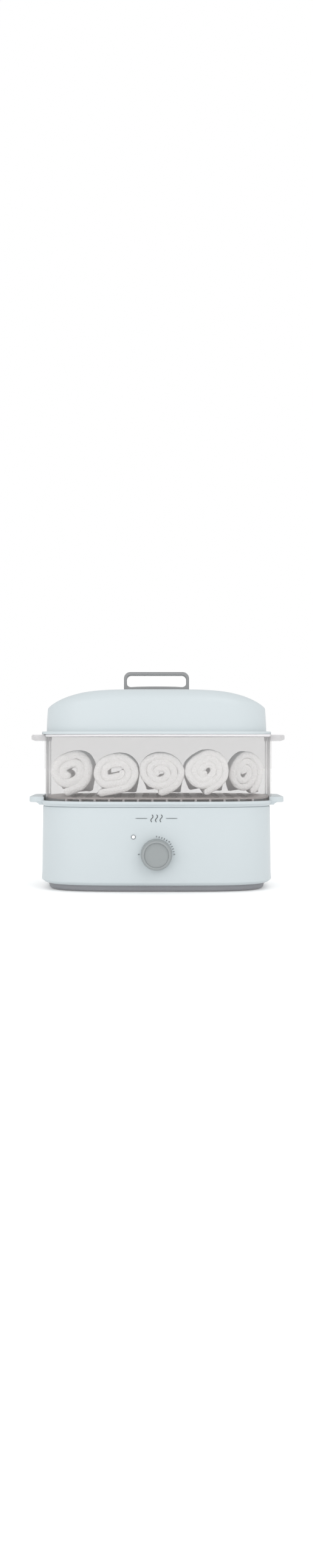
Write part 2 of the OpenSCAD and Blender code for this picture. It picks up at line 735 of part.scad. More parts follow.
base_housing();
bottom_plate();
rubber_feet();
bottom_screws();
water_reservoir();
reservoir_screws();
heater_plate();
heater_seal();
clamp_ring();
heater_nuts();
heat_spreader();
heating_element();
thermostat();
thermal_fuse();
steam_sleeve();
timer_bracket();
timer_case();
timer_bell();
timer_screws();
timer_shaft();
timer_knob();
lamp_bezel();
lamp_lens();
neon_bulb();
lamp_holder();
entry_panel();
cord_gland();
cord_clamp();
cord_clamp_screws();
terminal_block();
terminal_screws();
wiring();
drip_tray();
steam_basket();
rolled_towel(0);  // towel_1
rolled_towel(1);  // towel_2
rolled_towel(2);  // towel_3
rolled_towel(3);  // towel_4
rolled_towel(4);  // towel_5
lid_shell();
lid_handle();
handle_screws();
handle_washers();
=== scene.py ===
import math

import bmesh
import bpy
import numpy as np
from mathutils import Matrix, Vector, noise


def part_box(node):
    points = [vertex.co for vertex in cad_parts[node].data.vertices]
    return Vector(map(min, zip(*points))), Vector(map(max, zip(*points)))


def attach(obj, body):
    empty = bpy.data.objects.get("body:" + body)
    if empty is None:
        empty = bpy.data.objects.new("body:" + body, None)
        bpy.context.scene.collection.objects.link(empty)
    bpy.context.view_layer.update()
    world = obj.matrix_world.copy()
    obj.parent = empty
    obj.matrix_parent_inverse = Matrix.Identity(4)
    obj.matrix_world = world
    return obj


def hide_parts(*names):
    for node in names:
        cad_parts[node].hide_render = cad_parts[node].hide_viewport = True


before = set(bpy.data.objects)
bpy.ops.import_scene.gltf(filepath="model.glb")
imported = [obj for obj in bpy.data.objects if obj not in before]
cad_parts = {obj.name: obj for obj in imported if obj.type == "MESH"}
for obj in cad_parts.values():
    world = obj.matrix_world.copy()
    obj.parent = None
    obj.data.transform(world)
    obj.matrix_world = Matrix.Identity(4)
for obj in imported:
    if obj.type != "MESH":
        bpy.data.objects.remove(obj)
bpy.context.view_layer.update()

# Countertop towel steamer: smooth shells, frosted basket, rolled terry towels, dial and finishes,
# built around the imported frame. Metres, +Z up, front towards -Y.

MM = 0.001

# ------------------------------------------------------------------ sizes, from the frame

housing_low, housing_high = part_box("base_housing")
tray_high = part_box("drip_tray")[1]
basket_low, basket_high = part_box("steam_basket")
lid_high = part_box("lid_shell")[1]
handle_low, handle_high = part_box("lid_handle")
knob_low, knob_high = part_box("timer_knob")
bezel_low, bezel_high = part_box("lamp_bezel")

HALF_W = housing_high.x
HALF_D = (housing_high.y - housing_low.y) / 2
MIDDLE_Y = (housing_high.y + housing_low.y) / 2
FRONT_Y = housing_low.y
PLAN_POWER = 3.7      # squareness of the body's superellipse
RING_POINTS = 256
TRAY_Z = housing_high.z
LEDGE_Z = TRAY_Z + 2.8 * MM      # seat for the basket
BASKET_TOP_Z = basket_high.z
BASKET_FLOOR_Z = BASKET_TOP_Z - 86.5 * MM
BASKET_X = (basket_high.x + basket_low.x) / 2
CROWN_Z = lid_high.z
GRIP_HALF = 50 * MM
GRIP_CORNER = 12 * MM
GRIP_ROOT = HALF_W - 5 * MM
SLOT_STEPS = 10


# ------------------------------------------------------------------ outlines and meshes

def outline(half_w, half_d):
    """Evenly spaced points round a superellipse, anticlockwise from +X."""
    angle = np.linspace(0, 2 * math.pi, 40 * RING_POINTS + 1)
    across = (np.abs(np.cos(angle)) / half_w) ** PLAN_POWER
    deep = (np.abs(np.sin(angle)) / half_d) ** PLAN_POWER
    radius = (across + deep) ** (-1 / PLAN_POWER)
    x, y = radius * np.cos(angle), radius * np.sin(angle)
    along = np.concatenate([[0], np.cumsum(np.hypot(np.diff(x), np.diff(y)))])
    even = np.linspace(0, along[-1], RING_POINTS, endpoint=False)
    return np.column_stack([np.interp(even, along, x), np.interp(even, along, y)])


def half_chord(offset, half_here, half_there):
    """Half the body outline's chord along one axis, at an offset along the other one."""
    return half_there * (1 - (abs(offset) / half_here) ** PLAN_POWER) ** (1 / PLAN_POWER)


def at_height(points, z, x=0.0, y=0.0):
    """Plan points as a level ring of 3-D points."""
    return np.column_stack([points[:, 0] + x, points[:, 1] + y, np.full(len(points), z)])


def body_ring(inset, z, x=0.0):
    """Ring of the body's outline, moved inwards by inset millimetres."""
    return at_height(outline(HALF_W - inset * MM, HALF_D - inset * MM), z, x, MIDDLE_Y)


def rounded_box(half_w, half_d, radius, corner_steps):
    """Rectangle with round corners, anticlockwise."""
    points = []
    for turn, (sx, sy) in enumerate([(1, 1), (-1, 1), (-1, -1), (1, -1)]):
        for step in range(corner_steps + 1):
            angle = (turn + step / corner_steps) * math.pi / 2
            points.append((sx * (half_w - radius) + radius * math.cos(angle),
                           sy * (half_d - radius) + radius * math.sin(angle)))
    return np.array(points)


def slot_outline(length, width):
    """Round-ended slot that runs along Y."""
    return rounded_box(width / 2, length / 2, width / 2 - 1e-6, SLOT_STEPS)


def slot_across(length, width):
    """Round-ended slot that runs along X."""
    return rounded_box(length / 2, width / 2, width / 2 - 1e-6, SLOT_STEPS)


def loft(rings, first="open", last="open", closed=False):
    """Quads between neighbouring rings, each end open or capped by a fan, as (points, faces)."""
    count = len(rings[0])
    points = [p for ring in rings for p in ring]
    spans = len(rings) if closed else len(rings) - 1
    faces = []
    for i in range(spans):
        a, b = i * count, (i + 1) % len(rings) * count
        for k in range(count):
            n = (k + 1) % count
            faces.append((a + k, a + n, b + n, b + k))
    for end, kind in ((0, first), (len(rings) - 1, last)):
        if kind == "cap":
            points.append(np.mean(rings[end], axis=0))
            hub = len(points) - 1
            faces += [(end * count + k, end * count + (k + 1) % count, hub) for k in range(count)]
    return points, faces


def prism(points, z0, z1, x=0.0, y=0.0):
    """Upright solid with a plan outline, between two heights."""
    return loft([at_height(points, z0, x, y), at_height(points, z1, x, y)], "cap", "cap")


def joined(*parts):
    """Several (points, faces) as one."""
    points, faces = [], []
    for part_points, part_faces in parts:
        start = len(points)
        points += list(part_points)
        faces += [tuple(i + start for i in face) for face in part_faces]
    return points, faces


def moved(part, change):
    """A part with every point passed through a function."""
    return [change(p) for p in part[0]], part[1]


def lathe(profile, turn_into, count):
    """Solid turned from (radius, height) pairs. turn_into places (across, up, height)."""
    angles = np.linspace(0, 2 * math.pi, count, endpoint=False)
    rings = [[turn_into(r * math.cos(a), r * math.sin(a), h) for a in angles] for r, h in profile]
    return loft(rings, "cap", "cap")


def new_mesh(name, part):
    """New object from (points, faces), welded and with its faces turned outwards."""
    mesh = bpy.data.meshes.new(name)
    mesh.from_pydata([tuple(p) for p in part[0]], [], part[1])
    shape = bmesh.new()
    shape.from_mesh(mesh)
    bmesh.ops.remove_doubles(shape, verts=shape.verts, dist=1e-7)
    bmesh.ops.recalc_face_normals(shape, faces=shape.faces)
    shape.to_mesh(mesh)
    shape.free()
    piece = bpy.data.objects.new(name, mesh)
    bpy.context.scene.collection.objects.link(piece)
    return piece


def smooth(piece, angle):
    """Smooth shading, with edges sharper than an angle kept sharp."""
    mesh = piece.data
    mesh.polygons.foreach_set("use_smooth", [True] * len(mesh.polygons))
    mesh.set_sharp_from_angle(angle=math.radians(angle))


def apply_modifiers(piece):
    """Turns a piece's modifiers into plain mesh."""
    shown = piece.evaluated_get(bpy.context.evaluated_depsgraph_get())
    mesh = bpy.data.meshes.new_from_object(shown)
    piece.modifiers.clear()
    piece.data = mesh


def carve(piece, *cutters):
    """Cuts shapes out of a piece."""
    tool = new_mesh("cutter", joined(*cutters))
    cut = piece.modifiers.new("cut", "BOOLEAN")
    cut.operation = "DIFFERENCE"
    cut.solver = "EXACT"
    cut.object = tool
    apply_modifiers(piece)
    bpy.data.objects.remove(tool)


def finished(piece, body, finish, slot, *replaced, angle=38):
    """Gives a piece its finish and shading, and ties it to its body and the nodes it stands for."""
    piece.data.materials.clear()
    piece.data.materials.append(finish)
    smooth(piece, angle)
    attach(piece, body)
    if replaced:
        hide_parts(*replaced)
    return piece


# ------------------------------------------------------------------ materials

def linear(red, green, blue):
    """sRGB values from 0 to 255 as a linear colour."""
    channels = [c / 255 for c in (red, green, blue)]
    return [c / 12.92 if c <= 0.04045 else ((c + 0.055) / 1.055) ** 2.4 for c in channels] + [1]


def node(tree, kind, **inputs):
    """New shader node with some of its inputs set."""
    made = tree.nodes.new(kind)
    for name, value in inputs.items():
        made.inputs[name.replace("_", " ")].default_value = value
    return made


GRAIN_DEPTH = 0.05 * MM


def surface(name, colour, roughness, grain=400.0, tint=0.03, mottle=30.0, bump=0.1, stretch=(1, 1, 1),
            metallic=0.0, **fixed):
    """Principled material with mottled colour, uneven roughness and a fine grain in relief."""
    material = bpy.data.materials.new(name)
    material.use_nodes = True
    tree = material.node_tree
    shader = tree.nodes["Principled BSDF"]
    link = tree.links.new
    place = tree.nodes.new("ShaderNodeTexCoord")
    scaled = tree.nodes.new("ShaderNodeMapping")
    scaled.inputs["Scale"].default_value = stretch
    link(place.outputs["Object"], scaled.inputs["Vector"])
    cloud = node(tree, "ShaderNodeTexNoise", Scale=mottle, Detail=4.0, Roughness=0.6)
    fine = node(tree, "ShaderNodeTexNoise", Scale=grain, Detail=3.0, Roughness=0.65)
    for texture in (cloud, fine):
        link(scaled.outputs["Vector"], texture.inputs["Vector"])
    mix = tree.nodes.new("ShaderNodeMix")
    mix.data_type = "RGBA"
    mix.inputs[6].default_value = [c * (1 - tint) for c in colour[:3]] + [1]
    mix.inputs[7].default_value = [min(1, c * (1 + tint)) for c in colour[:3]] + [1]
    link(cloud.outputs["Fac"], mix.inputs[0])
    link(mix.outputs[2], shader.inputs["Base Color"])
    rough = node(tree, "ShaderNodeMapRange")
    rough.inputs["To Min"].default_value = roughness * 0.85
    rough.inputs["To Max"].default_value = min(1, roughness * 1.15)
    link(fine.outputs["Fac"], rough.inputs["Value"])
    link(rough.outputs["Result"], shader.inputs["Roughness"])
    relief = node(tree, "ShaderNodeBump", Strength=bump, Distance=GRAIN_DEPTH)
    link(fine.outputs["Fac"], relief.inputs["Height"])
    link(relief.outputs["Normal"], shader.inputs["Normal"])
    shader.inputs["Metallic"].default_value = metallic
    for socket, value in fixed.items():
        shader.inputs[socket.replace("_", " ")].default_value = value
    return material


def terry(name, colour):
    """Looped pile: small round tufts in relief over soft lumps, with painted shade at the tufts' roots and
    a faint painted glow.
    """
    # The faint white emission is a painted glow that lifts the shade on the towels inside the basket.
    material = surface(name, colour, 0.95, tint=0.02, mottle=60.0, Sheen_Weight=0.25,
                       Sheen_Roughness=0.5, Specular_IOR_Level=0.15, Emission_Color=(1, 1, 1, 1),
                       Emission_Strength=0.05)
    tree = material.node_tree
    shader = tree.nodes["Principled BSDF"]
    link = tree.links.new
    place = tree.nodes["Texture Coordinate"]
    tufts = node(tree, "ShaderNodeTexVoronoi", Scale=620.0, Randomness=1.0)
    lumps = node(tree, "ShaderNodeTexNoise", Scale=240.0, Detail=5.0, Roughness=0.7)
    for texture in (tufts, lumps):
        link(place.outputs["Object"], texture.inputs["Vector"])
    height = tree.nodes.new("ShaderNodeMath")
    height.operation = "SUBTRACT"
    link(lumps.outputs["Fac"], height.inputs[0])
    link(tufts.outputs["Distance"], height.inputs[1])
    relief = tree.nodes["Bump"]
    relief.inputs["Strength"].default_value = 0.85
    relief.inputs["Distance"].default_value = 0.9 * MM
    link(height.outputs[0], relief.inputs["Height"])
    # Multiplies the colour darker between the tufts: painted shade at the roots of the pile.
    painted_root_shade = tree.nodes.new("ShaderNodeMix")
    painted_root_shade.data_type = "RGBA"
    painted_root_shade.blend_type = "MULTIPLY"
    painted_root_shade.inputs[0].default_value = 1.0
    shade = node(tree, "ShaderNodeMapRange")
    shade.inputs["From Max"].default_value = 0.9
    shade.inputs["To Min"].default_value = 1.0
    shade.inputs["To Max"].default_value = 0.9
    link(tufts.outputs["Distance"], shade.inputs["Value"])
    link(tree.nodes["Mix"].outputs[2], painted_root_shade.inputs[6])
    link(shade.outputs["Result"], painted_root_shade.inputs[7])
    link(painted_root_shade.outputs[2], shader.inputs["Base Color"])
    return material


SHELL = surface("shell_blue", linear(189, 197, 200), 0.42, grain=900.0, tint=0.012, mottle=14.0,
                bump=0.08)
PLATE = surface("plate_grey", linear(136, 137, 141), 0.6, grain=1500.0, tint=0.05, bump=0.3)
HANDLE = surface("handle_grey", linear(139, 140, 141), 0.45, grain=1200.0, tint=0.03, bump=0.12)
KNOB = surface("knob_grey", linear(142, 147, 148), 0.38, grain=1200.0, tint=0.03, bump=0.08)
FROSTED = surface("frosted_clear", linear(168, 165, 165), 0.5, grain=1100.0, tint=0.01, bump=0.08,
                  Alpha=0.15, Specular_IOR_Level=0.12)
FROSTED_THICK = surface("frosted_thick", linear(184, 183, 184), 0.5, grain=1100.0, tint=0.01, bump=0.08,
                        Subsurface_Weight=0.8, Subsurface_Radius=(1, 1, 1), Subsurface_Scale=0.01)
FROSTED_RIM = surface("frosted_rim", linear(218, 216, 218), 0.5, grain=1100.0, tint=0.01, bump=0.08,
                      Subsurface_Weight=0.8, Subsurface_Radius=(1, 1, 1), Subsurface_Scale=0.006)
FROSTED_RIB = surface("frosted_rib", linear(176, 172, 172), 0.4, grain=1100.0, tint=0.02, bump=0.1)
# Frosted plastic for the basket floor, its grey darkened as painted shade under and between the rolls.
FLOOR_PAINTED_SHADE = surface("frosted_floor_painted_shade", linear(170, 163, 160), 0.45, grain=900.0, tint=0.03, bump=0.1)
TERRY = terry("terry_white", linear(251, 250, 249))
PRINT = surface("dial_print", linear(84, 89, 92), 0.6, grain=2500.0, tint=0.08)
LENS = surface("lens_white", linear(244, 248, 250), 0.18, grain=900.0, tint=0.01,
               Emission_Color=(1, 1, 1, 1), Emission_Strength=0.25)
STEEL = surface("brushed_steel", (0.58, 0.59, 0.60, 1), 0.3, grain=900.0, tint=0.05, bump=0.15,
                stretch=(1, 1, 12), metallic=1.0)
BEZEL = surface("bezel_steel", (0.3, 0.31, 0.32, 1), 0.32, grain=1500.0, tint=0.04, metallic=1.0)
BRASS = surface("brass", (0.72, 0.52, 0.22, 1), 0.28, grain=1100.0, tint=0.08, metallic=1.0)
ALUMINIUM = surface("cast_aluminium", (0.62, 0.63, 0.64, 1), 0.48, grain=700.0, tint=0.06, bump=0.4,
                    metallic=1.0)
SHEATH = surface("element_sheath", (0.24, 0.25, 0.26, 1), 0.42, grain=1300.0, tint=0.12, metallic=1.0)
RUBBER = surface("black_rubber", linear(44, 45, 47), 0.8, grain=1400.0, tint=0.15, bump=0.35)
SILICONE = surface("silicone", linear(214, 210, 202), 0.6, grain=900.0, tint=0.04, bump=0.2)
TANK = surface("tank_grey", linear(196, 201, 204), 0.45, grain=700.0, tint=0.03, bump=0.12)
BLACK = surface("black_plastic", linear(58, 59, 61), 0.5, grain=1200.0, tint=0.1, bump=0.2)
CREAM = surface("cream_plastic", linear(214, 209, 196), 0.45, grain=1100.0, tint=0.04, bump=0.15)
CERAMIC = surface("fuse_ceramic", linear(222, 214, 196), 0.25, grain=1500.0, tint=0.05)
GLASS = surface("neon_glass", linear(240, 214, 186), 0.08, grain=1500.0, tint=0.02,
                Transmission_Weight=0.7, IOR=1.45)
WIRE = surface("wire_pvc", linear(168, 69, 46), 0.4, grain=900.0, tint=0.08, bump=0.1)


# ------------------------------------------------------------------ base

def plan_rings(profile, x=0.0):
    """Rings of the body's outline from (inset in mm, height in m) pairs."""
    return [body_ring(inset, z, x) for inset, z in profile]


def millimetres(pairs, base=0.0):
    """(inset, height) pairs in millimetres, with the heights as metres above a base."""
    return [(inset, base + z * MM) for inset, z in pairs]


def make_housing():
    """One wall with a rounded tuck-under foot, a slight outward draft and a parting-line edge."""
    outer = millimetres([(8.8, 8.7), (7.0, 8.8), (4.6, 9.4), (2.5, 10.4), (1.0, 11.7), (0.1, 12.5),
                         (-0.6, 13.0), (-0.9, 13.6), (-0.95, 15), (-0.7, 18), (-0.45, 24),
                         (-0.2, 40), (0.2, 75), (0.6, 105), (0.75, 113.2), (0.95, 114.2), (1.3, 114.9),
                         (1.9, 115.3)])
    inner = millimetres([(2.9, 115.4), (3.3, 115), (3.15, 105), (2.8, 75), (2.4, 40), (2.2, 24),
                         (2.2, 17), (3.2, 14.6), (5.2, 12.6), (8.8, 11.2)])
    piece = new_mesh("housing_shell", loft(plan_rings(outer + inner), closed=True))
    low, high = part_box("entry_panel")
    gap, below, behind = 0.2 * MM, 5 * MM, 200 * MM
    left, right = low.x - gap, high.x + gap
    plan = np.array([(left, 0), (right, 0), (right, behind), (left, behind)])
    carve(piece, prism(plan, low.z - below, high.z + gap))
    return finished(piece, "base", SHELL, "shell_plastic", "base_housing")


def make_plate():
    """Shallow pan under the housing, with vents, screw wells and pockets for the feet."""
    skirt = millimetres([(6.4, 12.6), (8.3, 12.4), (8.7, 11.9), (8.8, 8.8), (9.0, 6.0), (9.5, 3.7),
                         (10.2, 2.1), (11.4, 1.2), (13.2, 0.9)])
    inside = millimetres([(15.0, 4.4), (12.6, 4.6), (11.6, 5.6), (11.2, 8.0), (11.0, 12.4)])
    outside, inner = plan_rings(skirt[::-1]), plan_rings(inside)
    piece = new_mesh("plate_pan", joined(
        loft([outside[0]], "cap"), loft(outside), loft([outside[-1], inner[-1]]), loft(inner),
        loft([inner[0]], "cap")))
    # name, its radius, the hole's radius and depth
    holes = [("rubber_feet", 9 * MM, 9.1 * MM, 3.9 * MM), ("bottom_screws", 3.3 * MM, 3.6 * MM, 8 * MM)]
    vent, vent_pitch, vent_middle = slot_outline(44 * MM, 3.6 * MM), 9 * MM, 54 * MM
    below = -1 * MM
    cutters = []
    for sx in (-1, 1):
        for sy in (-1, 1):
            for name, radius, hole_r, depth in holes:
                low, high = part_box(name)
                x = sx * (high.x - radius)
                y = MIDDLE_Y + sy * ((high.y - low.y) / 2 - radius)
                cutters.append(prism(circle(hole_r), below, depth, x, y))
        for i in range(-3, 4):
            x = sx * vent_middle + i * vent_pitch
            cutters.append(prism(vent, below, 9 * MM, x, MIDDLE_Y))
    carve(piece, *cutters)
    return finished(piece, "base", PLATE, "plate_plastic", "bottom_plate")


def circle(radius):
    """Points round a screw's well or a foot's pocket."""
    angles = np.linspace(0, 2 * math.pi, 40, endpoint=False)
    return np.column_stack([radius * np.cos(angles), radius * np.sin(angles)])


def facing_front(centre_x, centre_z, face_y):
    """Places a turned piece on the front: heights run out of the wall, towards -Y."""
    return lambda across, up, height: (centre_x + across, face_y - height, centre_z + up)


KNOB_X = (knob_low.x + knob_high.x) / 2
KNOB_Z = (knob_low.z + knob_high.z) / 2
KNOB_R = (knob_high.x - knob_low.x) / 2
KNOB_H = FRONT_Y - knob_low.y


def make_knob():
    """Timer knob: a tapered side, a raised round-edged ring and a shallow dished face."""
    profile = [(KNOB_R - 0.5 * MM, 0.6 * MM), (KNOB_R - 0.1 * MM, 0.7 * MM), (KNOB_R, 1.1 * MM),
               (KNOB_R, 1.9 * MM), (KNOB_R - 0.15 * MM, 2.4 * MM)]
    profile += [(20.75 * MM, 12.5 * MM), (20.45 * MM, 14.4 * MM), (20.0 * MM, 15.9 * MM),
                (19.45 * MM, 16.9 * MM), (18.8 * MM, 17.6 * MM), (18.0 * MM, KNOB_H - 0.05 * MM),
                (17.5 * MM, KNOB_H), (17.0 * MM, 17.9 * MM), (16.6 * MM, 17.3 * MM),
                (16.3 * MM, 16.3 * MM), (16.1 * MM, 15.4 * MM), (15.6 * MM, 15.0 * MM),
                (10 * MM, 15.15 * MM), (5 * MM, 15.02 * MM), (0.3 * MM, 15.0 * MM)]
    body = lathe(profile, facing_front(KNOB_X, KNOB_Z, FRONT_Y), 128)
    return finished(new_mesh("knob_cap", body), "knob", KNOB, "knob_plastic", "timer_knob", angle=50)


def make_lamp():
    """Round steel bezel with a rolled edge, and a white domed lens in it."""
    x, z = (bezel_low.x + bezel_high.x) / 2, (bezel_low.z + bezel_high.z) / 2
    rim = (bezel_high.x - bezel_low.x) / 2
    place = facing_front(x, z, FRONT_Y)
    angles = np.linspace(0, 2 * math.pi, 64, endpoint=False)
    section = [(2.2 * MM, -8 * MM), (2.2 * MM, 0.4 * MM), (2.35 * MM, 0.75 * MM), (2.6 * MM, 0.9 * MM),
               (rim - 0.35 * MM, 0.85 * MM), (rim - 0.1 * MM, 0.6 * MM), (rim, 0.25 * MM),
               (rim, -0.3 * MM), (2.65 * MM, -0.4 * MM), (2.65 * MM, -8 * MM)]
    rings = [[place(r * math.cos(a), r * math.sin(a), h) for a in angles] for r, h in section]
    finished(new_mesh("lamp_ring", loft(rings, closed=True)), "base", BEZEL, "bezel_metal",
             "lamp_bezel")
    dome = [(2.1 * MM, -6 * MM), (2.1 * MM, 0.5 * MM), (1.95 * MM, 0.85 * MM), (1.6 * MM, 1.15 * MM),
            (1.0 * MM, 1.35 * MM), (0.1 * MM, 1.42 * MM)]
    return finished(new_mesh("lamp_window", lathe(dome, place, 48)), "base", LENS, "lens_plastic",
                    "lamp_lens", angle=60)


DIAL_R = 23.4 * MM
PRINT_T = 0.08 * MM
DIAL_STEP = 9          # degrees
NUMERAL_STEP = 45
DIAL_SWEEP = 270


def on_dial(angle, radius):
    """Point on the front at a clockwise angle from the top of the dial."""
    turn = math.radians(angle)
    return KNOB_X + radius * math.sin(turn), KNOB_Z + radius * math.cos(turn)


def make_ticks():
    """Radial marks between the dial's numbers."""
    marks = []
    half_long, half_wide = 1.25 * MM, 0.42 * MM
    mark = prism(rounded_box(half_wide, half_long, half_wide * 0.8, 3), -PRINT_T, PRINT_T)
    for angle in range(0, DIAL_SWEEP + 1, DIAL_STEP):
        if angle % NUMERAL_STEP == 0:
            continue
        x, z = on_dial(angle, DIAL_R)
        turn = math.radians(-angle)

        def stand(p, x=x, z=z, turn=turn):
            across = p[0] * math.cos(turn) - p[1] * math.sin(turn)
            up = p[0] * math.sin(turn) + p[1] * math.cos(turn)
            return (x + across, FRONT_Y - p[2], z + up)

        marks.append(moved(mark, stand))
    return finished(new_mesh("dial_ticks", joined(*marks)), "base", PRINT, "shell_plastic")


def make_numerals():
    """Minutes from 0 to 60 round the dial, every 45 degrees."""
    made = []
    for i, angle in enumerate(range(0, DIAL_SWEEP + 1, NUMERAL_STEP)):
        text = bpy.data.curves.new(f"numeral_{i}", "FONT")
        text.body = str(10 * i)
        text.size = 2.7 * MM
        text.align_x = "CENTER"
        text.align_y = "CENTER"
        text.extrude = PRINT_T
        text.offset = 0.06 * MM
        holder = bpy.data.objects.new(f"numeral_{i}", text)
        bpy.context.scene.collection.objects.link(holder)
        x, z = on_dial(angle, DIAL_R + 0.5 * MM)
        holder.rotation_euler = (math.pi / 2, 0, 0)
        holder.location = (x, FRONT_Y, z)
        bpy.context.view_layer.update()
        mesh = bpy.data.meshes.new_from_object(
            holder.evaluated_get(bpy.context.evaluated_depsgraph_get()))
        mesh.transform(holder.matrix_world)
        made.append(([v.co.copy() for v in mesh.vertices], [tuple(f.vertices) for f in mesh.polygons]))
        bpy.data.objects.remove(holder)
    return finished(new_mesh("dial_numerals", joined(*made)), "base", PRINT, "shell_plastic")


def stroke(points, width):
    """Thin raised ribbon on the front, along (x, z) points, with round ends."""
    line = np.array(points)
    along = np.gradient(line, axis=0)
    along /= np.linalg.norm(along, axis=1)[:, None]
    side = np.column_stack([-along[:, 1], along[:, 0]])
    half = np.full(len(line), width / 2)
    half[[0, -1]] *= 0.45
    left, right = line + side * half[:, None], line - side * half[:, None]
    edge = np.vstack([left, right[::-1]])
    points = [(x, FRONT_Y - y, z) for y in (-PRINT_T, PRINT_T) for x, z in edge]
    rim = len(edge)
    faces = []
    for k in range(len(line) - 1):
        quad = (k, k + 1, rim - 2 - k, rim - 1 - k)
        faces += [quad, tuple(rim + i for i in reversed(quad))]
    faces += [(k, (k + 1) % rim, rim + (k + 1) % rim, rim + k) for k in range(rim)]
    return points, faces


def make_steam_mark():
    """Three wavy strokes between two thin rules, the plain sign for steam."""
    centre_z = KNOB_Z + 48.7 * MM
    height, sway, pitch = 10 * MM, 1.5 * MM, 6.2 * MM
    rule, gap = 16 * MM, 12.4 * MM
    parts = []
    along = np.linspace(-0.5, 0.5, 25)
    for i in (-1, 0, 1):
        wave = [(i * pitch + sway * math.sin(2 * math.pi * t), centre_z + height * t) for t in along]
        parts.append(stroke(wave, 1.0 * MM))
    for side in (-1, 1):
        line = [(side * (gap + rule * t), centre_z) for t in np.linspace(0, 1, 9)]
        parts.append(stroke(line, 0.6 * MM))
    return finished(new_mesh("steam_mark", joined(*parts)), "base", PRINT, "shell_plastic")


# ------------------------------------------------------------------ grips

def tongue(reach, less, side_less=None, root=GRIP_ROOT):
    """Plan of a right-hand grip: square at its root, with round outer corners."""
    side_less = less if side_less is None else side_less
    tip, half = reach - less, GRIP_HALF - side_less
    radius = max(0.5 * MM, min(GRIP_CORNER - max(less, side_less), tip - root - 0.2 * MM))
    points = [(root, half)]
    for start, sy in ((90, 1), (0, -1)):
        for step in range(SLOT_STEPS + 1):
            angle = math.radians(start - 90 * step / SLOT_STEPS)
            points.append((tip - radius + radius * math.cos(angle),
                           sy * (half - radius) + radius * math.sin(angle)))
    points.append((root, -half))
    return np.array(points[::-1])


def both_sides(part, centre_x=0.0):
    """A right-hand part and its mirror image."""
    return part, moved(part, lambda p: (2 * centre_x - p[0], p[1], p[2]))


def grip(reach, levels, x=0.0):
    """Solid grip from (less at the tip, less at the sides, height) levels, all in metres."""
    rings = [at_height(tongue(reach, tip, side), z, x, MIDDLE_Y) for tip, side, z in levels]
    return loft(rings, "cap", "cap")


# ------------------------------------------------------------------ drip tray

BOWL_W, BOWL_D = 140 * MM, 70 * MM
BOWL_BACK = 16 * MM
CHIMNEY_PITCH_X, CHIMNEY_ROW_Y = 80 * MM, 28 * MM


def bowl_ring(inset, z):
    """Ring of the water bowl's outline, which stands behind the middle of the body."""
    return at_height(outline(BOWL_W - inset * MM, BOWL_D - inset * MM), z, 0, MIDDLE_Y + BOWL_BACK)


def chimney_places():
    """Middles of the six steam openings."""
    middle_y = MIDDLE_Y + BOWL_BACK
    return [(column * CHIMNEY_PITCH_X, middle_y + row * CHIMNEY_ROW_Y)
            for column in (-1, 0, 1) for row in (-1, 1)]


